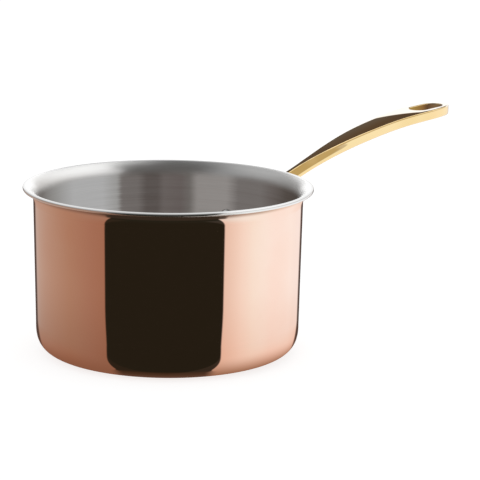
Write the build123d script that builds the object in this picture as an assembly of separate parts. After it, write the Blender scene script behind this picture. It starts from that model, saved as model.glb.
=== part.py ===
from build123d import *
import math
import os

# A clad saucepan: a deep, very slightly tapered body with a flared pouring lip, a cast brass
# handle riveted to the wall, and the rivets. Millimetres. The origin is the centre of
# the base's underside, +Z is up and the handle points along +X.

# Clad body, from the outside in.
COPPER = 0.5
CORE = 1.4
LINER = 0.6
WALL = COPPER + CORE + LINER
HEIGHT = 104.5
MOUTH_RADIUS = 83.4           # outer radius of the wall where the lip starts
TAPER = math.radians(1.0)     # how far the wall leans outwards
CORNER_RADIUS = 13.0          # outer rounding between base and wall

# Pouring lip: the wall turns outwards through LIP_ANGLE and ends in a rounded steel edge.
LIP_RADIUS = 7.5              # outer side of the bend
LIP_ANGLE = math.radians(75.0)
EDGE_RADIUS = WALL / 2
LIP_CENTRE = (MOUTH_RADIUS + LIP_RADIUS * math.cos(TAPER),
              HEIGHT - EDGE_RADIUS - (LIP_RADIUS + EDGE_RADIUS) * math.sin(LIP_ANGLE))
LIP_START = LIP_CENTRE[1] + LIP_RADIUS * math.sin(TAPER)

# Handle: the line of its top face, seen from the side (X, Z).
ROOT = (82.5, 90.1)
ROOT_PULL = (99.0, 93.2)
END_PULL = (170.5, 127.9)
END = (274.6, 128.1)
THICKNESS = 6.6
EDGE_ROUNDING = 0.8
LOOP_HALF_WIDTH = 11.8
LOOP_LENGTH = 30.0            # rounded end, from the widest point to the tip
SLOT_LENGTH = 28.6
SLOT_WIDTH = 14.0
SLOT_TO_TIP = 7.7

# Flange: the plate at the handle's root that follows the pan's wall.
FLANGE = 3.0
FLANGE_PAD = 9.5              # radius of the plate around each rivet
FLANGE_CREST = 77.5           # centre of the same rounding above the handle's root

# Rivets: one pair beside the handle's root and one below it.
RIVET_RADIUS = 2.5
INNER_HEAD_RADIUS = 5.0
INNER_HEAD_HEIGHT = 2.4
OUTER_HEAD_RADIUS = 4.4
OUTER_HEAD_HEIGHT = 1.9
PAIR_ANGLE = 16.5             # either side of the handle, around the pan's axis
PAIR_HEIGHT = 70.5
LOWER_HEIGHT = 49.5

PIERCE = 60.0                 # long enough to cut through everything it should


def wall_radius(height):
    """Outer radius of the tapered wall at this height."""
    return MOUTH_RADIUS - (LIP_START - height) * math.tan(TAPER)


def lip_point(depth, angle):
    """A point on the lip's bend, at this depth into the sheet and this turn from upright."""
    radius = LIP_RADIUS + depth
    return (LIP_CENTRE[0] - radius * math.cos(angle), LIP_CENTRE[1] + radius * math.sin(angle))


def corner_point(depth, angle):
    """A point on the base corner, at this depth and this turn up from the base."""
    radius = CORNER_RADIUS - depth
    centre = wall_radius(CORNER_RADIUS) - CORNER_RADIUS / math.cos(TAPER)
    return (centre + radius * math.sin(angle), CORNER_RADIUS - radius * math.cos(angle))


def sheet_line(depth):
    """The body's outline at this depth into the sheet, from the axis to the lip's end."""
    upright = math.pi / 2 - TAPER
    foot, middle, knee = (corner_point(depth, upright * part) for part in (0, 0.5, 1))
    bend, turned, end = (lip_point(depth, angle)
                         for angle in (TAPER, (TAPER + LIP_ANGLE) / 2, LIP_ANGLE))
    return [
        Line((0, depth), foot),
        ThreePointArc(foot, middle, knee),
        Line(knee, bend),
        ThreePointArc(bend, turned, end),
    ]


def spin(edges):
    """Turn a closed outline in X and Z about the pan's axis."""
    return revolve(Plane.XZ * make_face(edges), Axis.Z)


def layer(outer, inner):
    """One metal layer between two depths, ending square at the lip's end."""
    ends = [Line((0, outer), (0, inner)),
            Line(lip_point(outer, LIP_ANGLE), lip_point(inner, LIP_ANGLE))]
    return spin(sheet_line(outer) + sheet_line(inner) + ends)


def liner_layer():
    """The steel layer, whose rounded edge closes over the ends of the other two."""
    crown = lip_point(EDGE_RADIUS, LIP_ANGLE)
    nose = (crown[0] + EDGE_RADIUS * math.sin(LIP_ANGLE),
            crown[1] + EDGE_RADIUS * math.cos(LIP_ANGLE))
    outer = COPPER + CORE
    ends = [Line((0, outer), (0, WALL)),
            Line(lip_point(outer, LIP_ANGLE), lip_point(0, LIP_ANGLE)),
            ThreePointArc(lip_point(0, LIP_ANGLE), nose, lip_point(WALL, LIP_ANGLE))]
    return spin(sheet_line(outer) + sheet_line(WALL) + ends)


def rivet_seats():
    """Name, angle around the pan and height of each rivet."""
    return [("rivet_far", PAIR_ANGLE, PAIR_HEIGHT),
            ("rivet_near", -PAIR_ANGLE, PAIR_HEIGHT),
            ("rivet_lower", 0.0, LOWER_HEIGHT)]


def wall_form(offset):
    """A solid whose side runs parallel to the wall, this far outside it."""
    low, high = -PIERCE, HEIGHT + PIERCE
    reach = offset / math.cos(TAPER)
    corners = [(0, low), (wall_radius(low) + reach, low), (wall_radius(high) + reach, high),
               (0, high)]
    return spin([Polyline(*corners, close=True)])


def seat_plane(angle, height, offset):
    """The plane at a rivet, facing outwards, this far from the wall's outer face."""
    turn = math.radians(angle)
    out = (math.cos(turn), math.sin(turn), 0)
    radius = wall_radius(height) + offset
    return Plane(origin=(radius * out[0], radius * out[1], height), z_dir=out)


def shank(angle, height, start, end):
    """A round bar of the rivet's size, pointing at the axis, between two offsets."""
    bar = Cylinder(RIVET_RADIUS, end - start, align=(Align.CENTER, Align.CENTER, Align.MIN))
    return seat_plane(angle, height, start) * bar


def dome(radius, height):
    """A rivet head: a cap of a ball standing on its flat, run a little below it."""
    ball = (radius ** 2 + height ** 2) / (2 * height)
    cap = Pos(0, 0, height - ball) * Sphere(ball)
    return cap & Pos(0, 0, height - ball) * Cylinder(radius, 2 * ball) & \
        Pos(0, 0, PIERCE / 2 - 1) * Box(PIERCE, PIERCE, PIERCE)


def rivet(angle, height):
    """A rivet with a dome inside the pan and a lower dome outside on the flange."""
    inner = seat_plane(angle, height, -WALL) * Rot(0, 180, 0) * \
        dome(INNER_HEAD_RADIUS, INNER_HEAD_HEIGHT)
    outer = seat_plane(angle, height, FLANGE) * dome(OUTER_HEAD_RADIUS, OUTER_HEAD_HEIGHT)
    inner &= wall_form(-WALL)
    outer -= wall_form(FLANGE)
    return inner + shank(angle, height, -WALL - 1, FLANGE + 1) + outer


def drilled(body, start, end):
    """The body with the rivets' holes through it, between two offsets from the wall."""
    for _, angle, height in rivet_seats():
        body -= shank(angle, height, start, end)
    return body


def flange():
    """The riveted plate: a rounded shield, bent to the wall."""
    reach = wall_radius(PAIR_HEIGHT) * math.sin(math.radians(PAIR_ANGLE))
    pads = [(0, FLANGE_CREST), (reach, PAIR_HEIGHT), (0, LOWER_HEIGHT), (-reach, PAIR_HEIGHT)]
    outline = offset(make_face(Polyline(*pads, close=True)), FLANGE_PAD)
    shield = extrude(Plane.YZ * outline, MOUTH_RADIUS + PIERCE, dir=(1, 0, 0))
    plate = (shield & wall_form(FLANGE)) - wall_form(0)
    face = plate.faces().sort_by(Axis.X)[-1]
    return fillet(face.edges(), FLANGE / 3)


def top_line():
    """The line along the middle of the handle's top face."""
    return Plane.XZ * Bezier(ROOT, ROOT_PULL, END_PULL, END)


def section(place, top, bottom, depth=THICKNESS, rounding=EDGE_ROUNDING, drop=0):
    """An upright cross-section of the handle: a tapered block with rounded corners.

    The place runs from 0 at the wall to 1 at the tip; top and bottom are half-widths.
    """
    corners = [(-top, -drop), (top, -drop), (bottom, -depth), (-bottom, -depth)]
    face = make_face(Polyline(*corners, close=True))
    face = fillet(face.vertices(), rounding)
    return Plane(origin=top_line() @ place, x_dir=(0, 1, 0), z_dir=(1, 0, 0)) * face


def neck():
    """The deep root of the handle, thinning from the flange into the bar."""
    return loft([section(0.0, 6.5, 8.0, 27.0, 3.5, drop=5.0),
                 section(0.1, 3.2, 5.2, 14.0, 1.6),
                 section(0.2, 2.1, 4.2)])


def strap():
    """The handle's bar, widening to the loop."""
    widest = LOOP_HALF_WIDTH
    return loft([section(0.2, 2.1, 4.2),
                 section(0.4, 5.2, 6.0),
                 section(0.6, 8.6, 8.6),
                 section(0.82, widest, widest),
                 section(0.91, widest, widest),
                 section(1.0, widest, widest)])


def loop_outline():
    """The handle seen from above: straight sides that end in half an ellipse."""
    tip = END[0]
    widest = tip - LOOP_LENGTH
    end = Pos(widest, 0) * Ellipse(LOOP_LENGTH, LOOP_HALF_WIDTH)
    side = Pos(widest / 2, 0) * Rectangle(widest, 4 * LOOP_HALF_WIDTH)
    return side + end


def slot():
    """The hanging slot, cut straight down through the loop."""
    middle = END[0] - SLOT_TO_TIP - SLOT_LENGTH / 2
    outline = Pos(middle, 0) * SlotOverall(SLOT_LENGTH, SLOT_WIDTH)
    return extrude(outline, 2 * HEIGHT)


def handle():
    """Flange, neck and bar in one casting, drilled for the rivets."""
    body = (neck() + strap()) & extrude(loop_outline(), 2 * HEIGHT)
    body = body - slot() + flange()
    body -= wall_form(0)
    return drilled(body, -WALL, FLANGE + PIERCE)


def save(name, shape):
    """Write one piece as its own STEP file."""
    export_step(shape, f"parts/{name}.step")


os.makedirs("parts", exist_ok=True)
through = (-PIERCE / 6, FLANGE)
save("copper_shell", drilled(layer(0, COPPER), *through))
save("aluminium_core", drilled(layer(COPPER, COPPER + CORE), *through))
save("steel_liner", drilled(liner_layer(), *through))
save("handle", handle())
for name, angle, height in rivet_seats():
    save(name, rivet(angle, height))
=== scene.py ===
"""Looks of a clad copper saucepan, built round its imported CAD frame."""
import math

import bmesh
import bpy
import numpy as np
from mathutils import Matrix, Vector


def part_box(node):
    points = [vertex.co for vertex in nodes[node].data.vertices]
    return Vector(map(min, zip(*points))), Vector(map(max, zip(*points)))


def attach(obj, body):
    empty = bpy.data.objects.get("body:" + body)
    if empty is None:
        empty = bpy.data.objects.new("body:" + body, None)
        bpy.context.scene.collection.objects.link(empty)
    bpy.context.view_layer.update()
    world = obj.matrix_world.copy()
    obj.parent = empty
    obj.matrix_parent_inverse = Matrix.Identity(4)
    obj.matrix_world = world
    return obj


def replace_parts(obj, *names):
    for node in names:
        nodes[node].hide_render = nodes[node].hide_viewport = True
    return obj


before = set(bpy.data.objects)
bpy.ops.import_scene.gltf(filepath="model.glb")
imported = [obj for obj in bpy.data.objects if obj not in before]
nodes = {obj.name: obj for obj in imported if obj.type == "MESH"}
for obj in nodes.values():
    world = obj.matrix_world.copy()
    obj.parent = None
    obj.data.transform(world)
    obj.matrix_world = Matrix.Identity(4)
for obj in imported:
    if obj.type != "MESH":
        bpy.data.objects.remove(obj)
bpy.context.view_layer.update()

# ---------------------------------------------------------------- sizes, in millimetres
MM = 0.001
LINER_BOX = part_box("steel_liner")
HANDLE_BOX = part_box("handle")
HEIGHT = LINER_BOX[1].z / MM
LIP_EDGE = LINER_BOX[1].x / MM
TIP = HANDLE_BOX[1].x / MM
LOOP_TOP = HANDLE_BOX[1].z / MM

COPPER, CORE, LINER = 0.5, 1.4, 0.6
WALL = COPPER + CORE + LINER
BEND = 7.5                       # outer radius of the lip's bend
BEND_TURN = math.radians(75)
TAPER = math.radians(1.0)        # the wall leans out a little
EDGE = WALL / 2                  # the lip ends in half a circle
BEND_R = LIP_EDGE - EDGE + (BEND + EDGE) * math.cos(BEND_TURN)
BEND_Z = HEIGHT - EDGE - (BEND + EDGE) * math.sin(BEND_TURN)
LIP_START = BEND_Z + BEND * math.sin(TAPER)
MOUTH = BEND_R - BEND * math.cos(TAPER)
CORNER = 18.0                    # base corner: a soft super-ellipse
CORNER_POWER = 2.75

ROUND = 256                      # steps round the pan
BASE_STEPS, CORNER_STEPS, WALL_STEPS, LIP_STEPS, NOSE_STEPS = 14, 41, 24, 26, 14
TINY = 1e-6                      # a smaller radius or length than this counts as none


# ---------------------------------------------------------------- curves
def even(points, count):
    """The same polyline with points at even distances."""
    points = np.asarray(points, float)
    step = np.hypot(*np.diff(points, axis=0).T)
    run = np.concatenate([[0], np.cumsum(step)])
    want = np.linspace(0, run[-1], count)
    return np.stack([np.interp(want, run, points[:, k]) for k in range(points.shape[1])], 1)


def smooth(value, low, high):
    """0 below low, 1 above high, and an S between them."""
    t = np.clip((np.asarray(value, float) - low) / (high - low), 0, 1)
    return t * t * (3 - 2 * t)


def through(stations, x):
    """The value at one x of a curve through (x, value) stations that never overshoots them."""
    xs, ys = (np.array(v, float) for v in zip(*stations))
    h, d = np.diff(xs), np.diff(ys) / np.diff(xs)
    m = np.concatenate([[d[0]], [2 * a * b / (a + b) if a * b > 0 else 0.0
                                 for a, b in zip(d[:-1], d[1:])], [d[-1]]])
    x = np.clip(x, xs[0], xs[-1])
    k = np.clip(np.searchsorted(xs, x, side="right") - 1, 0, len(h) - 1)
    t = (x - xs[k]) / h[k]
    return float((1 + 2 * t) * (1 - t) ** 2 * ys[k] + t * (1 - t) ** 2 * h[k] * m[k]
                 + t * t * (3 - 2 * t) * ys[k + 1] + t * t * (t - 1) * h[k] * m[k + 1])


def bezier(points, t):
    """A point at t on the cubic curve with these four control points."""
    a, b, c, d = (np.array(p) for p in points)
    return (1 - t) ** 3 * a + 3 * (1 - t) ** 2 * t * b + 3 * (1 - t) * t * t * c + t ** 3 * d


def quarter(count):
    """Even angles over a quarter turn."""
    return np.linspace(0, math.pi / 2, count)


# ---------------------------------------------------------------- meshes
def new_piece(name, verts, faces, finish, slot, sharp=35.0):
    """A smooth-shaded mesh piece on the body, from points in millimetres."""
    mesh = bpy.data.meshes.new(name)
    mesh.from_pydata([tuple(MM * c for c in v) for v in verts], [], faces)
    mesh.validate()
    bm = bmesh.new()
    bm.from_mesh(mesh)
    bmesh.ops.recalc_face_normals(bm, faces=bm.faces)
    bm.to_mesh(mesh)
    bm.free()
    mesh.shade_smooth()
    mesh.set_sharp_from_angle(angle=math.radians(sharp))
    mesh.materials.append(finish)
    piece = bpy.data.objects.new(name, mesh)
    bpy.context.scene.collection.objects.link(piece)
    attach(piece, "root")
    return piece


def lathe(profile, steps=ROUND):
    """Vertices and faces of a closed (radius, height) outline turned about Z."""
    verts, rings, faces = [], [], []
    for r, z in profile:
        if r < TINY:
            rings.append([len(verts)] * steps)
            verts.append((0.0, 0.0, z))
        else:
            rings.append(list(range(len(verts), len(verts) + steps)))
            turn = np.arange(steps) * 2 * math.pi / steps
            verts += [(r * math.cos(a), r * math.sin(a), z) for a in turn]
    for one, two in zip(rings, rings[1:] + rings[:1]):
        for k in range(steps):
            n = (k + 1) % steps
            face = list(dict.fromkeys([one[k], one[n], two[n], two[k]]))
            if len(face) > 2:
                faces.append(face)
    return verts, faces


def wall_r(z, depth=0.0):
    """Radius of the tapered wall at this height and depth into the sheet."""
    return MOUTH - (LIP_START - z) * math.tan(TAPER) - depth / math.cos(TAPER)


def bend_point(depth, turn):
    """A point on the lip's bend, at this depth and this turn from upright."""
    reach = BEND + depth
    return (BEND_R - reach * math.cos(turn), BEND_Z + reach * math.sin(turn))


def sheet_line(depth):
    """The body's outline at this depth into the sheet, from the axis to the lip's end."""
    foot = wall_r(CORNER) - CORNER
    points = [(r, depth) for r in np.linspace(0, foot, BASE_STEPS)[:-1]]
    for a in quarter(CORNER_STEPS):
        u, v = math.sin(a) ** (2 / CORNER_POWER), math.cos(a) ** (2 / CORNER_POWER)
        out = np.array([u ** (CORNER_POWER - 1), -v ** (CORNER_POWER - 1)])
        out = out / np.hypot(*out)
        points.append((foot + CORNER * u - depth * out[0], CORNER * (1 - v) - depth * out[1]))
    points += [(wall_r(z, depth), z) for z in np.linspace(CORNER, LIP_START, WALL_STEPS)[1:-1]]
    return points + [bend_point(depth, a) for a in np.linspace(TAPER, BEND_TURN, LIP_STEPS)]


def nose():
    """The steel edge that closes over the sheet's end, from outside to just short of inside."""
    middle = np.array(bend_point(EDGE, BEND_TURN))
    along = np.array([math.sin(BEND_TURN), math.cos(BEND_TURN)])
    inward = np.array([-math.cos(BEND_TURN), math.sin(BEND_TURN)])
    return [tuple(middle + EDGE * (math.sin(a) * along - math.cos(a) * inward))
            for a in np.linspace(0, math.pi, NOSE_STEPS)[:-1]]


def make_body():
    """The copper and steel layers of the sheet; the core between them stays the CAD's."""
    shell = sheet_line(0) + sheet_line(COPPER)[::-1]
    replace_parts(new_piece("copper_body", *lathe(shell), copper(), "copper"), "copper_shell")
    liner = sheet_line(COPPER + CORE) + nose() + sheet_line(WALL)[::-1]
    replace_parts(new_piece("steel_lining", *lathe(liner), steel(), "liner"), "steel_liner")


# ---------------------------------------------------------------- handle
ROOT_HEIGHT = 80.0
SIDE = wall_r(ROOT_HEIGHT)       # outer radius of the wall at the handle's root
ROOT, ROOT_PULL, END_PULL = (82.5, 90.1), (99.0, 93.2), (170.5, 127.9)
ROOT_DROP, DROP_END = 4.5, 104.0     # the top line falls this much more, from here to the wall
LEAN_START, LEAN_END = 100.0, 135.0  # the cuts turn from upright to square to the bar
LOOP_LENGTH, LOOP_HALF = 30.0, 11.8
SLOT_LENGTH, SLOT_HALF, SLOT_TO_TIP = 28.6, 7.0, 7.7
SLOT_START, SLOT_END = TIP - SLOT_TO_TIP - SLOT_LENGTH, TIP - SLOT_TO_TIP
THICK = 6.6
CROWN = 0.022                    # swelling of the top face, as a share of its half-width
EDGE_R, FOOT_R, SLOT_R = 1.0, 1.3, 0.7   # rounding of the upper, lower and slot's edges
NECK_END = 96.0                  # where the neck starts to spread into the flange

# Stations (x, value): half-width of the top face, half-width of the underside, and depth.
TOP_HALF = [(SIDE, 5.4), (96, 3.2), (113, 1.9), (130, 2.9), (151, 5.1), (182, 8.1),
            (213, 9.9), (TIP - LOOP_LENGTH, LOOP_HALF), (TIP, LOOP_HALF)]
LOW_HALF = [(SIDE, 8.0), (96, 5.4), (113, 4.3), (135, 4.9), (160, 6.4), (182, 8.2),
            (213, 9.9), (TIP - LOOP_LENGTH, LOOP_HALF), (TIP, LOOP_HALF)]
DEEP = [(SIDE, 24.0), (96, 15.0), (105, 9.6), (116, 6.9), (130, THICK), (TIP, THICK)]

LINE_STEPS, BAR_CUTS, LOOP_CUTS = 800, 90, 72
OUTLINE_STEPS, TIP_STEPS, SLOT_STEPS = 12, 60, 30
FACE_ROWS, EDGE_ROWS, SIDE_ROWS, SLOT_ROWS = 9, 5, 17, 5
SPREAD_START, SPREAD_END = 0.5, 0.62   # the side leans out from this share of the edge's
                                       # rounding to this share of the depth
MOST_EDGE = 0.45                 # the edge's rounding takes up at most this share of a cut

# The flange: a rounded shield round three rivets, bent to the wall.
FLANGE = 3.0                     # thickness
PAIR_TURN = math.radians(16.5)   # the upper rivets' place, either side of the handle
PAIR_HEIGHT, LOWER_HEIGHT = 70.5, 49.5
PAD = 9.5                        # radius of the shield round each rivet
CREST = 77.5                     # centre of the same rounding above the handle's root
RIM_R = 1.2                      # rounding of the flange's rim
ROOT_LOW = 63.5                  # lowest height at which the neck meets the flange
ROOT_DIP, ROOT_WIDEN = 0.5, 1.5  # it meets it this far below the top line and this much wider
FILLET, FILLET_SHARE = 5.0, 0.7  # how far the neck's fillet runs out over the flange, and the
                                 # most of the room there that it takes
NECK_LEAD = np.array([5.4, 0.0, 0.9])    # how far the fillet first runs on in the bar's own way
FILLET_STEPS, PLATE_STEPS, RIM_STEPS, PAD_STEPS = 12, 8, 5, 60
BACK_SHARES = (1.0, 0.7, 0.4, 0.15, 0.0)   # rings on the flange's back, from rim to centre

LINE = bezier((ROOT, ROOT_PULL, END_PULL, (TIP, LOOP_TOP)), np.linspace(0, 1, LINE_STEPS)[:, None])
SLOPE = np.gradient(LINE[:, 1], LINE[:, 0])


def top_z(x):
    """Height of the top line, falling away a little more just before the wall."""
    return float(np.interp(x, LINE[:, 0], LINE[:, 1]) - ROOT_DROP * (1 - smooth(x, SIDE, DROP_END)))


def lean(x):
    """How far the handle's depth leans from upright, as an angle."""
    return float(np.arctan(np.interp(x, LINE[:, 0], SLOPE)) * smooth(x, LEAN_START, LEAN_END))


def half_outline():
    """Half of the handle seen from above, from the slot's start round to the tip."""
    wide = TIP - LOOP_LENGTH
    side = [(x, through(TOP_HALF, x)) for x in np.linspace(SLOT_START, wide, OUTLINE_STEPS)[:-1]]
    end = [(wide + LOOP_LENGTH * math.sin(a), LOOP_HALF * math.cos(a)) for a in quarter(TIP_STEPS)]
    return side + end


def half_slot(wider=0.0):
    """Half of the hanging slot seen from above, from its start round to its far end."""
    radius = SLOT_HALF + wider
    near, far = SLOT_START + SLOT_HALF, SLOT_END - SLOT_HALF
    one = [(near - radius * math.cos(a), radius * math.sin(a)) for a in quarter(SLOT_STEPS)]
    two = [(far + radius * math.sin(a), radius * math.cos(a)) for a in quarter(SLOT_STEPS)]
    return one + two


def crown(point):
    """The top face's gentle swelling above its edges."""
    half = max(through(TOP_HALF, point[0]), 1.0)
    return CROWN * half * (1 - float(np.clip(point[1] / half, -1, 1)) ** 2)


def column(inner, outer, spread, depth):
    """One upright cut through the handle, from the inner point to the outer and back under.

    Spread is how far the side leans out on its way down. Returns rows of (x, y, depth below
    the top line)."""
    inner, outer = np.array(inner), np.array(outer)
    length = max(np.hypot(*(outer - inner)), TINY)
    way = (outer - inner) / length
    edge = min(EDGE_R, MOST_EDGE * length)
    rows = []
    for f in np.linspace(0, 1, FACE_ROWS)[:-1]:
        p = inner + way * f * (length - edge)
        rows.append((*p, -crown(p)))
    for a in quarter(EDGE_ROWS):
        p = inner + way * (length - edge + edge * math.sin(a))
        rows.append((*p, edge * (1 - math.cos(a)) - crown(p) * math.cos(a)))
    for f in np.linspace(0, 1, SIDE_ROWS)[1:-1]:
        down = edge + f * (depth - edge - FOOT_R)
        p = outer + way * spread * float(smooth(down, edge * SPREAD_START, SPREAD_END * depth))
        rows.append((*p, down))
    for a in quarter(EDGE_ROWS):
        p = outer + way * (spread - FOOT_R * (1 - math.cos(a)))
        rows.append((*p, depth - FOOT_R + FOOT_R * math.sin(a)))
    for f in np.linspace(1, 0, FACE_ROWS)[1:]:
        rows.append((*(inner + way * f * (length + spread - FOOT_R)), depth))
    return rows


def placed(cuts):
    """The same cuts with their points, given as x, y and depth below the top line, in space."""
    return [[(x + down * math.sin(lean(x)), y, top_z(x) - down * math.cos(lean(x)))
             for x, y, down in cut] for cut in cuts]


class Weld:
    """Collects faces, sharing vertices that are at the same place."""

    def __init__(self):
        self.verts, self.faces, self.seen = [], [], {}

    def vert(self, p):
        key = tuple(round(c, 3) for c in p)
        if key not in self.seen:
            self.seen[key] = len(self.verts)
            self.verts.append(tuple(p))
        return self.seen[key]

    def grid(self, rows):
        """Quads between neighbouring rows of points, dropping any that close up."""
        ids = [[self.vert(p) for p in row] for row in rows]
        for one, two in zip(ids[:-1], ids[1:]):
            for k in range(len(one) - 1):
                face = list(dict.fromkeys([one[k], one[k + 1], two[k + 1], two[k]]))
                if len(face) > 2:
                    self.faces.append(face)


def bar_cut(x):
    """The cut through the bar at this x, from its middle to its edge."""
    half = through(TOP_HALF, x)
    return column((x, 0), (x, half), through(LOW_HALF, x) - half, through(DEEP, x))


def slot_wall(rim, hole):
    """One line down the slot's wall, over its rounded edges, from the top to the underside."""
    way = (hole - rim) / SLOT_R
    lift = -crown(rim)
    down = [(*(rim + way * SLOT_R * math.sin(t)), lift * math.cos(t) + SLOT_R * (1 - math.cos(t)))
            for t in quarter(EDGE_ROWS)]
    middle = [(*hole, d) for d in np.linspace(SLOT_R, THICK - SLOT_R, SLOT_ROWS)[1:-1]]
    up = [(*(rim + way * SLOT_R * math.cos(t)), THICK - SLOT_R + SLOT_R * math.sin(t))
          for t in quarter(EDGE_ROWS)]
    return down + middle + up


def loop_columns():
    """Cuts through the loop, fanned round the slot, and the lines down the slot's wall."""
    rims, holes = even(half_slot(SLOT_R), LOOP_CUTS), even(half_slot(), LOOP_CUTS)
    outer = even(half_outline(), LOOP_CUTS)
    outer[0] = (rims[0][0], through(TOP_HALF, rims[0][0]))
    cuts = [column(rim, edge, 0.0, THICK) for rim, edge in zip(rims, outer)]
    return cuts, [slot_wall(rim, hole) for rim, hole in zip(rims, holes)]


def flange_reach(angle, centre):
    """Distance from the centre to the flange's outline in this direction, seen square on."""
    reach = wall_r(PAIR_HEIGHT) * math.sin(PAIR_TURN)
    pads = [(0.0, CREST), (reach, PAIR_HEIGHT), (0.0, LOWER_HEIGHT)]
    way = np.array([math.sin(angle), math.cos(angle)])
    best = 0.0
    for (y0, z0), (y1, z1) in zip(pads, pads[1:] + pads[:1]):
        for f in np.linspace(0, 1, PAD_STEPS):
            pad = np.array([y0 + f * (y1 - y0), z0 + f * (z1 - z0) - centre])
            ahead = pad @ way
            off = pad @ pad - ahead * ahead
            if off < PAD * PAD:
                best = max(best, ahead + math.sqrt(PAD * PAD - off))
    return best


def on_wall(point, centre, proud):
    """A point (sideways, height above the centre), set standing proud of the wall."""
    y, z = point[0], centre + point[1]
    radius = wall_r(z) + proud
    turn = math.asin(max(-1.0, min(1.0, y / radius)))
    return (radius * math.cos(turn), radius * math.sin(turn), z)


def fillet(start, root, foot, centre):
    """A line from a point on the neck, over the fillet, to its foot on the flange."""
    lead = np.array(start) - NECK_LEAD
    ends = (start, lead, on_wall(root, centre, FLANGE), on_wall(foot, centre, FLANGE))
    return [tuple(bezier(ends, t)) for t in np.linspace(0, 1, FILLET_STEPS)]


def plate(way, start, edge, centre):
    """A line across the flange, round its rim and back along the wall to the centre."""
    rim = edge - RIM_R
    face = [(start + f * (rim - start), FLANGE) for f in np.linspace(0, 1, PLATE_STEPS)[1:]]
    corner = [(rim + RIM_R * math.sin(t), FLANGE - RIM_R * (1 - math.cos(t)))
              for t in quarter(RIM_STEPS)[1:]]
    back = [(edge * f, 0.0) for f in BACK_SHARES]
    return [on_wall(way * far, centre, proud) for far, proud in face + corner + back]


def flange_rows():
    """Lines from the neck's end, over its fillet and the flange, to the wall behind."""
    neck = placed([bar_cut(NECK_END)])[0]
    top, bottom = neck[0][2], neck[-1][2]
    root_top = top_z(SIDE) - ROOT_DIP
    centre = (root_top + ROOT_LOW) / 2
    rows = []
    for x, y, z in neck:
        share = (z - bottom) / (top - bottom)
        root = np.array([y * ROOT_WIDEN, ROOT_LOW + share * (root_top - ROOT_LOW) - centre])
        far = np.hypot(*root)
        way = root / far
        edge = flange_reach(math.atan2(*root), centre)
        spread = min(FILLET, FILLET_SHARE * (edge - far))
        rows.append(fillet((x, y, z), root, root + way * spread, centre)
                    + plate(way, far + spread, edge, centre))
    return rows


def make_handle():
    """The cast handle: flange, neck, bar and loop in one skin."""
    cuts, walls = loop_columns()
    bar = placed([bar_cut(x) for x in np.linspace(NECK_END, SLOT_START - SLOT_R, BAR_CUTS)])
    loop = placed(cuts)
    bar[-1] = loop[0]
    skin = Weld()
    parts = (bar, loop, placed(walls), flange_rows())
    for side in (1, -1):
        for rows in parts:
            skin.grid([[(x, side * y, z) for x, y, z in row] for row in rows])
    piece = new_piece("brass_handle", skin.verts, skin.faces, brass(), "brass", sharp=50)
    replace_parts(piece, "handle")


# ---------------------------------------------------------------- rivets
INNER_HEAD = (5.0, 2.4)          # radius and height of the dome inside the pan
OUTER_HEAD = (4.4, 1.9)          # and of the one on the flange
SHANK_R = 2.5
INNER_SINK, OUTER_SINK = 0.25, 0.2   # how far each head goes into its bent seat
RIVET_STEPS, DOME_STEPS = 48, 12


def dome(size):
    """Outline of a rivet's head, a slightly squared cap, as (radius, height) from its top."""
    radius, height = size
    return [(radius * math.sin(a) ** 0.9, height * math.cos(a) ** 0.8) for a in quarter(DOME_STEPS)]


def make_rivet(node, turn, height):
    """A rivet: dome inside the pan, shank through the wall, flatter dome on the flange."""
    inner_face = wall_r(height, WALL)
    length = wall_r(height) + FLANGE - inner_face
    profile = [(r, -z) for r, z in dome(INNER_HEAD)]
    profile += [(INNER_HEAD[0], INNER_SINK), (SHANK_R, INNER_SINK),
                (SHANK_R, length - OUTER_SINK), (OUTER_HEAD[0], length - OUTER_SINK)]
    profile += [(r, length + z) for r, z in dome(OUTER_HEAD)[::-1]]
    verts, faces = lathe(profile, RIVET_STEPS)
    out = Vector((math.cos(turn), math.sin(turn), 0))
    side = Vector((-math.sin(turn), math.cos(turn), 0))
    points = [tuple(out * (inner_face + z) + side * x + Vector((0, 0, height + y)))
              for x, y, z in verts]
    name = node.replace("rivet", "riveted_head")
    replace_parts(new_piece(name, points, faces, rivet_steel(), "rivets", sharp=40), node)


def make_rivets():
    """The pair beside the handle and the one below it."""
    make_rivet("rivet_far", PAIR_TURN, PAIR_HEIGHT)
    make_rivet("rivet_near", -PAIR_TURN, PAIR_HEIGHT)
    make_rivet("rivet_lower", 0.0, LOWER_HEIGHT)


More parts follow.
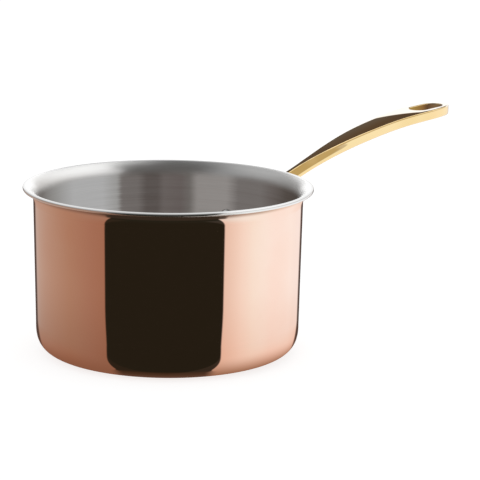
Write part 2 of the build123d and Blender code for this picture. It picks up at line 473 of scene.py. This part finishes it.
# ---------------------------------------------------------------- material helpers
class Graph:
    """A short way to write node trees."""

    def __init__(self, tree):
        self.tree = tree
        tree.nodes.clear()

    def node(self, kind, inputs=(), **settings):
        n = self.tree.nodes.new(kind)
        for key, value in settings.items():
            setattr(n, key, value)
        for key, value in dict(inputs).items():
            self.feed(n.inputs[key], value)
        return n

    def feed(self, socket, value):
        if isinstance(value, bpy.types.NodeSocket):
            self.tree.links.new(value, socket)
        else:
            socket.default_value = value

    def math(self, operation, *values, clamp=False):
        n = self.tree.nodes.new("ShaderNodeMath")
        n.operation, n.use_clamp = operation, clamp
        for socket, value in zip(n.inputs, values):
            self.feed(socket, value)
        return n.outputs[0]

    def times(self, one, two):
        return self.math("MULTIPLY", one, two)

    def ramp(self, value, low, high, to_low=0.0, to_high=1.0, shape="SMOOTHSTEP"):
        """From to_low to to_high while the value goes from low to high."""
        n = self.node("ShaderNodeMapRange", interpolation_type=shape,
                      inputs={"Value": value, "From Min": low, "From Max": high,
                              "To Min": to_low, "To Max": to_high})
        return n.outputs["Result"]

    def mix(self, factor, one, two):
        n = self.node("ShaderNodeMix", data_type="RGBA",
                      inputs={0: factor, 6: one, 7: two})
        return n.outputs[2]

    def steps(self, value, stops):
        """A colour that runs straight from stop to stop of (value, colour)."""
        low, high = stops[0][0], stops[-1][0]
        n = self.node("ShaderNodeValToRGB", inputs={"Fac": self.math(
            "DIVIDE", self.math("SUBTRACT", value, low), high - low, clamp=True)})
        n.color_ramp.interpolation = "LINEAR"
        while len(n.color_ramp.elements) < len(stops):
            n.color_ramp.elements.new(1.0)
        for element, (at, tone) in zip(n.color_ramp.elements, stops):
            element.position, element.color = (at - low) / (high - low), (*tone, 1.0)
        return n.outputs["Color"]

    def noise(self, vector, scale, detail=2.0, rough=0.5):
        n = self.node("ShaderNodeTexNoise",
                      inputs={"Vector": vector, "Scale": scale, "Detail": detail,
                              "Roughness": rough})
        return n.outputs["Fac"]

    def vector(self, x, y, z):
        return self.node("ShaderNodeCombineXYZ", inputs={0: x, 1: y, 2: z}).outputs[0]

    def split(self, vector):
        return self.node("ShaderNodeSeparateXYZ", inputs={0: vector}).outputs

    def geometry(self, what):
        return self.node("ShaderNodeNewGeometry").outputs[what]

    def object_point(self):
        return self.node("ShaderNodeTexCoord").outputs["Object"]

    def dot(self, vector, axis):
        return self.node("ShaderNodeVectorMath", operation="DOT_PRODUCT",
                         inputs={0: vector, 1: tuple(axis)}).outputs["Value"]

    def scaled(self, vector, by):
        return self.node("ShaderNodeVectorMath", operation="SCALE",
                         inputs={0: vector, "Scale": by}).outputs[0]

    def glow(self, tone, strength=1.0):
        return self.node("ShaderNodeEmission",
                         inputs={"Color": tone, "Strength": strength}).outputs[0]


def color(red, green, blue):
    return (red, green, blue, 1.0)


def grey(value, warmth=0.0):
    """A grey, a little warmer or cooler."""
    return color(value * (1 + warmth), value, value * (1 - warmth))


def band(g, value, low, high, soft):
    """1 between low and high, with soft ends."""
    return g.times(g.ramp(value, low - soft, low), g.ramp(value, high + soft, high))


def material(name):
    """A new node material, its graph and a principled shader wired to the output."""
    m = bpy.data.materials.new(name)
    m.use_nodes = True
    g = Graph(m.node_tree)
    shader = g.node("ShaderNodeBsdfPrincipled", inputs={"Metallic": 1.0})
    out = g.node("ShaderNodeOutputMaterial")
    g.tree.links.new(shader.outputs[0], out.inputs["Surface"])
    return m, g, shader


def cylinder_coordinates(g):
    """Turn (in radians), radius and height of the shaded point about the pan's axis."""
    x, y, z = g.split(g.object_point())
    radius = g.math("SQRT", g.math("ADD", g.times(x, x), g.times(y, y)))
    return g.math("ARCTAN2", y, x), radius, z


def rings(g, turn, along, density):
    """A noise place that changes slowly round the pan and fast along its outline."""
    return g.vector(g.math("COSINE", turn), g.math("SINE", turn), g.times(along, density))


def bump(g, shader, height, strength, distance):
    """Fine relief on the shader's normal."""
    n = g.node("ShaderNodeBump", inputs={"Height": height, "Strength": strength,
                                         "Distance": distance})
    g.tree.links.new(n.outputs[0], shader.inputs["Normal"])


def lay_painted_light(g, m, look, layers):
    """Lay painted (share, colour) reflections and shade over a shader as glowing colour, and wire it
    to the output.
    """
    for share, tone in layers:
        look = g.node("ShaderNodeMixShader",
                      inputs={0: share, 1: look, 2: g.glow(tone)}).outputs[0]
    out = next(n for n in m.node_tree.nodes if n.type == "OUTPUT_MATERIAL")
    g.tree.links.new(look, out.inputs["Surface"])


# ---------------------------------------------------------------- directions, in degrees
HANDLE_TURN = math.radians(45)   # the handle points away to the right of the camera
SIGHT = Vector((math.sin(HANDLE_TURN), math.cos(HANDLE_TURN), 0))
RIGHT = Vector((math.cos(HANDLE_TURN), -math.sin(HANDLE_TURN), 0))
UP = Vector((0, 0, 1))


def compass(g, way):
    """Turn from the camera (to its right) and rise of a direction."""
    degrees = 180 / math.pi
    turn = g.times(g.math("ARCTAN2", g.dot(way, RIGHT), g.dot(way, -SIGHT)), degrees)
    return turn, g.times(g.math("ARCSINE", g.dot(way, UP)), degrees)


def mirrored(g):
    """Turn and rise of the direction this point mirrors."""
    back = g.scaled(g.geometry("Incoming"), -1.0)
    way = g.node("ShaderNodeVectorMath", operation="REFLECT",
                 inputs={0: back, 1: g.geometry("Normal")}).outputs[0]
    return compass(g, way)


def flat_turn(g):
    """Turn of the direction an upright wall would mirror from here."""
    viewer, _ = compass(g, g.geometry("Incoming"))
    around, _ = compass(g, g.geometry("Position"))
    return g.math("WRAP", g.math("SUBTRACT", g.times(around, 2.0), viewer), 180.0, -180.0)


def left_height(g, length):
    """The height a mirrored ray of this length set out from, in metres."""
    origin = g.node("ShaderNodeVectorMath", operation="ADD", inputs={
        0: g.geometry("Position"), 1: g.scaled(g.geometry("Incoming"), length)}).outputs[0]
    return g.split(origin)[2]


# ---------------------------------------------------------------- materials
# Heights over which the copper starts to curl away at its foot and at its lip, and how much of the
# painted reflection on the curling copper is laid on.
FOOT_CURL, LIP_CURL = (22 * MM, 17 * MM), (93.5 * MM, 95.5 * MM)
CURL_PAINT_SHARE = 0.97
TABLE_RISE = -15.0               # the painted reflection on the curling copper looks this far down at the table
BLACK_LOW, BLACK_HIGH = -50, 47  # turns between which the painted shade in the lip's fold is black
POLISHED = (LIP_EDGE - 3.0, LIP_EDGE - 1.2)      # radii over which the steel becomes polished
# Heights between which a painted reflection of the room lies on the brushed wall.
PAINTED_ROOM_FOOT, PAINTED_ROOM_TOP = (20 * MM, 40 * MM), (100 * MM, 94 * MM)


def copper():
    """Mirror-polished copper with faint polishing lines and handling haze, a painted pale sheen at
    grazing views on its upright wall, and painted reflections and shade laid on where it curls at its
    foot and lip.
    """
    m, g, shader = material("polished_copper")
    turn, _, z = cylinder_coordinates(g)
    full, pale, hazed = color(0.93, 0.60, 0.475), color(0.93, 0.745, 0.65), color(0.90, 0.57, 0.44)
    lines = g.noise(rings(g, turn, z, 900.0), 3.0, detail=3.0)
    haze = g.noise(g.object_point(), 14.0, detail=4.0)
    facing = g.node("ShaderNodeLayerWeight", inputs={"Blend": 0.5}).outputs["Facing"]
    upright = g.times(g.ramp(z, 5 * MM, 19 * MM), g.ramp(z, 103 * MM, 99 * MM))
    # A painted sheen: paler at grazing views on the upright wall.
    tint = g.mix(g.times(g.ramp(facing, 0.085, 0.36), upright), full, pale)
    tint = g.mix(g.ramp(haze, 0.35, 0.7, 0.0, 0.35), tint, hazed)
    g.feed(shader.inputs["Base Color"], tint)
    g.feed(shader.inputs["Roughness"],
           g.math("ADD", g.times(lines, 0.02), g.ramp(haze, 0.45, 0.8, 0.012, 0.03)))
    bump(g, shader, lines, strength=0.02, distance=0.00002)
    # Painted reflections and painted shade where the copper curls at its foot and lip.
    lay_painted_light(g, m, shader.outputs[0], curl_painted_light(g, z, tint))
    return m


def curl_painted_light(g, z, tint):
    """Painted reflections where the copper curls away at its foot and its lip, and their shares.

    Each is a (share, colour) layer; the second is the painted shade under the lip."""
    turn = flat_turn(g)
    # A painted reflection of the studio, tinted by the copper.
    room = g.node("ShaderNodeMix", data_type="RGBA", blend_type="MULTIPLY",
                  inputs={0: 1.0, 6: low_studio(g, turn, TABLE_RISE, z), 7: tint}).outputs[2]
    ends = g.math("MAXIMUM", g.ramp(z, *FOOT_CURL), g.ramp(z, *LIP_CURL))
    return [(g.times(ends, CURL_PAINT_SHARE), room), painted_shade_under_lip(g, turn, z)]


def painted_shade_under_lip(g, turn, z):
    """Where the painted shade lies in which the copper bends out under the lip, and its colour, which
    turns to a painted reflection of the pale cards at the right.
    """
    dark = (0.036, 0.022, 0.014)
    tone = g.steps(turn, [(-180, (0.30, 0.19, 0.14)), (-140, (0.36, 0.21, 0.15)),
                          (-75, (0.20, 0.10, 0.065)), (-60, (0.13, 0.065, 0.042)),
                          (BLACK_LOW, dark), (45, dark), (52, (0.16, 0.09, 0.06)),
                          (62, (0.34, 0.21, 0.15)), (80, (0.42, 0.29, 0.21)),
                          (105, (0.72, 0.52, 0.40)), (140, (0.85, 0.65, 0.52)),
                          (180, (0.6, 0.42, 0.33))])
    beside = g.ramp(z, 98.5 * MM, 101.5 * MM, 0.0, 0.85)
    in_black = g.ramp(z, 98.8 * MM, 99.5 * MM, 0.0, 0.95)
    return g.mix(band(g, turn, BLACK_LOW, BLACK_HIGH, 4), beside, in_black), tone


def steel():
    """Stainless steel brushed in rings, polished round the lip's edge, with a painted reflection of
    the room on the brushed wall and a painted highlight on top of the lip's edge.
    """
    m, g, shader = material("brushed_steel")
    turn, radius, z = cylinder_coordinates(g)
    edge = g.ramp(radius, POLISHED[0] * MM, POLISHED[1] * MM)
    inside = g.math("SUBTRACT", 1.0, edge)
    around = rings(g, turn, g.math("ADD", z, radius), 1500.0)
    lines = g.noise(around, 1.6, detail=5.0, rough=0.65)
    broad = g.noise(around, 0.35, detail=2.0)
    g.feed(shader.inputs["Base Color"], steel_tint(g, z, edge, lines, broad))
    wall = g.ramp(z, (LIP_START - 4.0) * MM, (LIP_START + 4.0) * MM, 0.36, 0.26)
    brushed = g.math("ADD", g.times(lines, 0.20), wall)
    g.feed(shader.inputs["Roughness"],
           g.math("ADD", g.times(brushed, inside), g.times(edge, 0.10)))
    tangent = g.node("ShaderNodeTangent", direction_type="RADIAL", axis="Z")
    g.feed(shader.inputs["Tangent"], tangent.outputs[0])
    g.feed(shader.inputs["Anisotropic"], g.times(inside, 0.95))
    g.feed(shader.inputs["Anisotropic Rotation"], 0.25)
    bump(g, shader, g.times(lines, inside), strength=0.08, distance=0.00003)
    painted_room_share = g.times(g.ramp(z, *PAINTED_ROOM_FOOT), g.ramp(z, *PAINTED_ROOM_TOP))
    facing_up = g.ramp(g.split(g.geometry("Normal"))[2], 0.30, 0.70)
    # Painted layers: a reflection of the room on the brushed wall, and a pale painted highlight on top
    # of the polished lip's edge.
    lay_painted_light(g, m, shader.outputs[0], [
        (g.times(painted_room_share, 0.88), brushed_painted_reflection(g, lines, broad)),
        (g.times(g.times(edge, facing_up), 0.7), grey(0.84))])
    return m


def steel_tint(g, z, edge, lines, broad):
    """The steel's own grey: streaked inside, paler at the lip and even along its edge."""
    tone = g.mix(g.ramp(lines, 0.3, 0.7), color(0.66, 0.64, 0.63), color(0.73, 0.71, 0.70))
    tone = g.mix(g.ramp(broad, 0.40, 0.65, 0.0, 0.25), tone, color(0.65, 0.625, 0.61))
    tone = g.mix(g.ramp(z, 90 * MM, 98 * MM), tone, color(0.80, 0.797, 0.79))
    return g.mix(edge, tone, grey(0.80))


def brushed_painted_reflection(g, lines, broad):
    """A painted reflection of the room on the brushed wall, smeared upright by the brushing."""
    turn, _ = mirrored(g)
    turn = g.math("ADD", turn, g.times(g.math("SUBTRACT", lines, 0.5), 7.0))
    dim, mid, pale = (0.100, 0.083, 0.076), (0.164, 0.146, 0.137), (0.292, 0.270, 0.257)
    bright = (0.45, 0.45, 0.45)
    room = g.steps(turn, [(-180, mid), (-160, (0.062, 0.046, 0.038)), (-130, (0.072, 0.056, 0.046)),
                          (-105, (0.127, 0.107, 0.098)), (-92, mid), (-66, mid), (-54, pale),
                          (-26, pale), (-19, (0.150, 0.136, 0.125)), (-11, (0.127, 0.105, 0.098)),
                          (4, (0.142, 0.121, 0.113)), (10, dim), (20, dim), (28, mid), (43, mid),
                          (47.5, (0.345, 0.34, 0.33)), (62, bright), (95, bright),
                          (120, (0.30, 0.295, 0.285)), (150, (0.16, 0.145, 0.135)), (180, mid)])
    room = g.mix(g.ramp(lines, 0.25, 0.75, 0.13, 0.0), room, color(0.02, 0.018, 0.016))
    return g.mix(g.ramp(broad, 0.35, 0.7, 0.03, 0.0), room, grey(0.5))


def brass():
    """Cast brass, polished bright, with soft unevenness left by the wheel, and painted reflections and
    painted shade in the slot laid over it.
    """
    m, g, shader = material("polished_brass")
    point = g.object_point()
    swell = g.noise(point, 38.0, detail=2.0)
    fine = g.noise(point, 900.0, detail=3.0)
    tint = g.mix(g.ramp(swell, 0.3, 0.7), color(0.93, 0.72, 0.40), color(0.90, 0.68, 0.35))
    g.feed(shader.inputs["Base Color"], tint)
    g.feed(shader.inputs["Roughness"], g.math("ADD", g.times(fine, 0.04), 0.045))
    bump(g, shader, swell, strength=0.06, distance=0.0004)
    lay_painted_light(g, m, shader.outputs[0], brass_painted_reflections(g, swell) + [painted_slot_shade(g, *g.split(point)[:2])])
    return m


def brass_painted_reflections(g, swell):
    """Painted reflections on the brass, as (share, colour) layers: floor, gold side, dark flag, glare.
    """
    side = g.split(g.object_point())[1]
    dark = g.mix(g.ramp(side, -7 * MM, 9 * MM), color(0.098, 0.056, 0.026), color(0.118, 0.086, 0.056))
    dark = g.mix(g.ramp(swell, 0.4, 0.65, 0.0, 0.5), dark, color(0.080, 0.050, 0.028))
    turn, rise = mirrored(g)
    size = g.math("ABSOLUTE", turn)
    behind = g.ramp(size, 128, 136)
    # Painted reflections behind the handle: a dark flag over the top face and a white glare below it.
    flag = g.times(behind, band(g, rise, 19.1, 58, 0.8))
    glare = g.times(behind, band(g, rise, -4, 18.3, 0.8))
    gold = g.times(band(g, size, 68, 98, 8), band(g, rise, 10, 58, 6))
    gold = g.times(gold, g.ramp(swell, 0.25, 0.7, 0.8, 1.0))
    floor = g.ramp(rise, -50, -62, 0.0, 0.7)
    return [(floor, color(0.32, 0.20, 0.12)), (gold, color(0.50, 0.325, 0.11)), (flag, dark),
            (g.times(glare, 0.75), grey(1.02, 0.015))]


def painted_slot_shade(g, x, y):
    """Painted shade on the slot's wall, gold turning brown along it, and where to lay it."""
    upness = g.math("ABSOLUTE", g.split(g.geometry("Normal"))[2])
    across = g.math("ABSOLUTE", y)
    share = band(g, x, (SLOT_START - 0.3) * MM, (SLOT_END + 0.3) * MM, 0.1 * MM)
    share = g.times(share, g.ramp(across, (SLOT_HALF + 0.3) * MM, (SLOT_HALF + 0.4) * MM, 1.0, 0.0))
    share = g.times(share, g.ramp(upness, 0.6, 0.45))
    along = g.ramp(x, SLOT_START * MM, SLOT_END * MM, shape="LINEAR")
    tone = g.steps(along, [(0.0, (0.44, 0.29, 0.07)), (0.35, (0.40, 0.25, 0.065)),
                           (0.70, (0.27, 0.14, 0.045)), (0.85, (0.115, 0.062, 0.03)),
                           (1.0, (0.15, 0.10, 0.06))])
    return g.times(share, 0.85), tone


def rivet_steel():
    """Polished stainless rivet, a little hazed by the setting tool."""
    m, g, shader = material("rivet_steel")
    fine = g.noise(g.object_point(), 700.0, detail=4.0)
    tint = g.mix(g.ramp(fine, 0.3, 0.7), color(0.78, 0.775, 0.77), color(0.70, 0.695, 0.69))
    g.feed(shader.inputs["Base Color"], tint)
    g.feed(shader.inputs["Roughness"], g.math("ADD", g.times(fine, 0.1), 0.1))
    bump(g, shader, fine, strength=0.05, distance=0.0001)
    return m


def core_aluminium():
    """Rolled aluminium of the hidden core."""
    m, g, shader = material("rolled_aluminium")
    turn, radius, z = cylinder_coordinates(g)
    place = g.vector(g.times(turn, 4.0), g.times(radius, 60.0), g.times(z, 400.0))
    grain = g.noise(place, 4.0, detail=3.0)
    tint = g.mix(grain, color(0.74, 0.75, 0.76), color(0.84, 0.84, 0.85))
    g.feed(shader.inputs["Base Color"], tint)
    g.feed(shader.inputs["Roughness"], g.math("ADD", g.times(grain, 0.2), 0.3))
    bump(g, shader, grain, strength=0.1, distance=0.0001)
    return m


# ---------------------------------------------------------------- studio
TILT, SWING, LIFT, ROLL = (math.radians(a) for a in (13.09, 1.836, 0.995, 0.411))
LENS, SENSOR = 168.17, 36.0      # in millimetres
DISTANCE, AIM_HEIGHT = 1.4, 0.045    # in metres, as are the next
NEAR, FAR = 0.05, 30.0
FLOOR_SIZE, FLOOR_DROP = 12.0, 0.0002
USUAL_HEIGHT = 0.06              # where most of the metal looks at the studio from


def make_camera():
    """A long lens in front of the pan and a little above it, swung towards the handle."""
    back = -SIGHT * math.cos(TILT) + UP * math.sin(TILT)
    data = bpy.data.cameras.new("camera")
    data.lens, data.sensor_width = LENS, SENSOR
    data.clip_start, data.clip_end = NEAR, FAR
    cam = bpy.data.objects.new("camera", data)
    bpy.context.scene.collection.objects.link(cam)
    square_on = matrix_from(RIGHT, back.cross(RIGHT), back, UP * AIM_HEIGHT + back * DISTANCE)
    cam.matrix_world = (square_on @ Matrix.Rotation(-SWING, 4, "Y")
                        @ Matrix.Rotation(LIFT, 4, "X") @ Matrix.Rotation(ROLL, 4, "Z"))
    bpy.context.scene.camera = cam


def matrix_from(x, y, z, origin):
    """The placing matrix with these axes and origin."""
    m = Matrix((x, y, z)).transposed().to_4x4()
    m.translation = origin
    return m


def make_floor():
    """A plain pale floor, on which polished metal sees painted cards, the black panel and painted
    shade close to the pan instead.
    """
    bpy.ops.mesh.primitive_plane_add(size=FLOOR_SIZE, location=(0, 0, -FLOOR_DROP))
    floor = bpy.context.object
    floor.name = "floor"
    m = bpy.data.materials.new("pale_floor")
    m.use_nodes = True
    g = Graph(m.node_tree)
    shade = g.node("ShaderNodeBsdfDiffuse", inputs={"Color": grey(0.30)})
    plain = g.node("ShaderNodeAddShader", inputs={0: shade.outputs[0], 1: g.glow(grey(1.0), 0.80)})
    path = g.node("ShaderNodeLightPath")
    turn, rise = compass(g, g.scaled(g.geometry("Incoming"), -1.0))
    # To mirrored rays the floor glows with the painted studio, darkened by painted shade where the ray
    # left the metal close to the table.
    seen = g.glow(low_studio(g, turn, rise, left_height(g, path.outputs["Ray Length"])))
    both = g.node("ShaderNodeMixShader", inputs={
        0: path.outputs["Is Glossy Ray"], 1: plain.outputs[0], 2: seen})
    g.node("ShaderNodeOutputMaterial", inputs={"Surface": both.outputs[0]})
    floor.data.materials.append(m)


def make_world():
    """Plain pale light, in which polished metal sees the studio instead."""
    world = bpy.data.worlds.new("studio")
    bpy.context.scene.world = world
    world.use_nodes = True
    g = Graph(world.node_tree)
    turn, rise = compass(g, g.node("ShaderNodeTexCoord").outputs["Generated"])
    path = g.node("ShaderNodeLightPath")
    plain = g.mix(path.outputs["Is Camera Ray"], grey(0.92), grey(1.0))
    seen = g.mix(path.outputs["Is Glossy Ray"], plain, studio(g, turn, rise))
    back = g.node("ShaderNodeBackground", inputs={"Color": seen, "Strength": 1.0})
    g.node("ShaderNodeOutputWorld", inputs={"Surface": back.outputs[0]})
    world.cycles.sampling_method = "NONE"


def studio(g, turn, rise):
    """What polished metal sees by direction: turn is 0 towards the camera, 90 to its right."""
    return g.mix(g.ramp(rise, -4, 2), low_studio(g, turn, rise, USUAL_HEIGHT),
                 high_studio(g, turn, rise))


def low_studio(g, turn, rise, start):
    """Cards standing on the table left and right, and a black panel towards the camera.

    Start is the height it is seen from, in metres: the metal nearest the table and the metal under the
    lip see the panel narrower, and the fold under the lip sees mostly painted shade."""
    steeply_down = g.ramp(rise, -64, -56, 1.0, 0.0)
    # Painted shade in the fold under the lip: rays going steeply down from high up see a dark colour
    # instead of the cards.
    fold = g.times(g.ramp(start, 0.080, 0.092), steeply_down)
    card = g.mix(fold, cards(g, turn, rise, start), color(0.037, 0.029, 0.021))
    black = g.times(black_share(g, turn, start), g.math("SUBTRACT", 1.0, fold))
    strip = g.mix(g.ramp(start, 0.0, 0.0055), color(0.16, 0.11, 0.085), color(0.055, 0.036, 0.021))
    panel = g.mix(g.ramp(start, 0.0050, 0.0068), strip, color(0.019, 0.0193, 0.0128))
    return g.mix(black, card, panel)


def cards(g, turn, rise, start):
    """The cards: brown at the left, pale at the right, warmer and darker low down with painted shade
    of the pan on the table, a dark gap behind.
    """
    size = g.math("ABSOLUTE", turn)
    rightness = g.ramp(turn, -30, 30)
    card = g.steps(turn, [(-165, (0.58, 0.48, 0.44)), (-143, (0.54, 0.40, 0.336)),
                          (-120, (0.50, 0.338, 0.263)), (-93, (0.45, 0.27, 0.19)),
                          (-70, (0.41, 0.248, 0.181)), (-45, (0.37, 0.225, 0.16)),
                          (45, (0.86, 0.80, 0.76)), (54, (0.90, 0.89, 0.86)),
                          (66, (0.99, 1.01, 0.99)), (78, (1.02, 1.065, 1.04)),
                          (102, (1.06, 1.05, 1.05)), (130, (1.06, 1.08, 1.09)),
                          (165, (0.98, 0.89, 0.86))])
    # Seen from close to the table the cards darken and warm: painted shade of the pan on the table.
    table_shade = g.mix(rightness, color(0.20, 0.10, 0.06), color(0.80, 0.50, 0.34))
    card = g.mix(g.ramp(start, 0.0, 0.06, 0.42, 0.0), card, table_shade)
    shown = g.math("MAXIMUM", g.ramp(rise, -24, -19), g.ramp(start, 0.018, 0.024, 1.0, 0.0))
    behind = g.ramp(g.math("ADD", size, g.ramp(start, 0.008, 0.024, 10.0, 0.0)), 154, 160)
    card = g.mix(g.times(behind, shown), card, color(0.10, 0.07, 0.06))
    # Seen from the pan's very foot, the cards give way to a painted shade colour.
    foot = g.mix(rightness, color(0.26, 0.155, 0.105), color(0.33, 0.215, 0.14))
    return g.mix(g.ramp(start, 0.0, 0.0145, 1.0, 0.0), card, foot)


def black_share(g, turn, start):
    """How much of the black panel is in this direction. It has rounded corners."""
    middle_left, low_half, high_half, rounding = 3.2, 50.3, 52.0, 7.0
    low_soft, high_soft = 7.0, 0.8
    corner = g.math("MAXIMUM", g.ramp(start, 0.0068, 0.0150, 1.0, 0.0, shape="LINEAR"),
                    g.ramp(start, 0.0935, 0.0992, shape="LINEAR"))
    half = g.math("SUBTRACT", g.ramp(start, 0.010, 0.045, low_half, high_half),
                  g.times(g.math("POWER", corner, 2.5), rounding))
    off_middle = g.math("ABSOLUTE", g.math("ADD", turn, middle_left))
    soft = g.ramp(start, 0.0052, 0.0064, low_soft, high_soft)
    return g.ramp(g.math("SUBTRACT", half, off_middle), g.times(soft, -1.0), soft)


def high_studio(g, turn, rise):
    """A big soft window at the right, a pale backdrop behind, a dim room elsewhere."""
    size = g.math("ABSOLUTE", turn)
    room = g.mix(g.ramp(turn, -58, -24), left_room(g, turn, rise), grey(0.135, 0.04))
    past = g.math("SUBTRACT", turn, g.ramp(rise, 38, 78, 44.0, 116.0))
    window = g.mix(g.ramp(rise, 8, 36), grey(0.64, 0.04), grey(1.4))
    window = g.mix(g.ramp(turn, 46, 95), g.mix(0.35, window, grey(0.6)), window)
    window = g.mix(g.ramp(rise, 66, 84), window, grey(0.25))
    room = g.mix(g.ramp(past, -1.5, 3.0), room, window)
    upper = g.mix(g.ramp(rise, 50, 72), grey(0.42), grey(0.16))
    backdrop = g.mix(g.ramp(rise, 27, 31), grey(1.35), upper)
    behind = g.mix(g.ramp(rise, 31, 60), g.ramp(size, 158, 163), g.ramp(size, 158, 176))
    return g.mix(behind, room, backdrop)


def left_room(g, turn, rise):
    """The dim wall at the left, palest half way up."""
    near = g.mix(g.ramp(rise, 45, 62), grey(0.38), grey(0.15))
    wall = g.mix(g.ramp(rise, 8, 42), grey(0.27, 0.03), grey(0.62))
    wall = g.mix(g.ramp(turn, -120, -55), wall, near)
    return g.mix(g.ramp(rise, 56, 76), wall, grey(0.15))


def set_look():
    """Plain display of the light, with nothing added."""
    scene = bpy.context.scene
    scene.view_settings.view_transform = "Standard"
    scene.view_settings.look = "None"


# ---------------------------------------------------------------- assembly
make_body()
make_handle()
make_rivets()
nodes["aluminium_core"].data.materials.clear()
nodes["aluminium_core"].data.materials.append(core_aluminium())
make_floor()
make_world()
make_camera()
set_look()
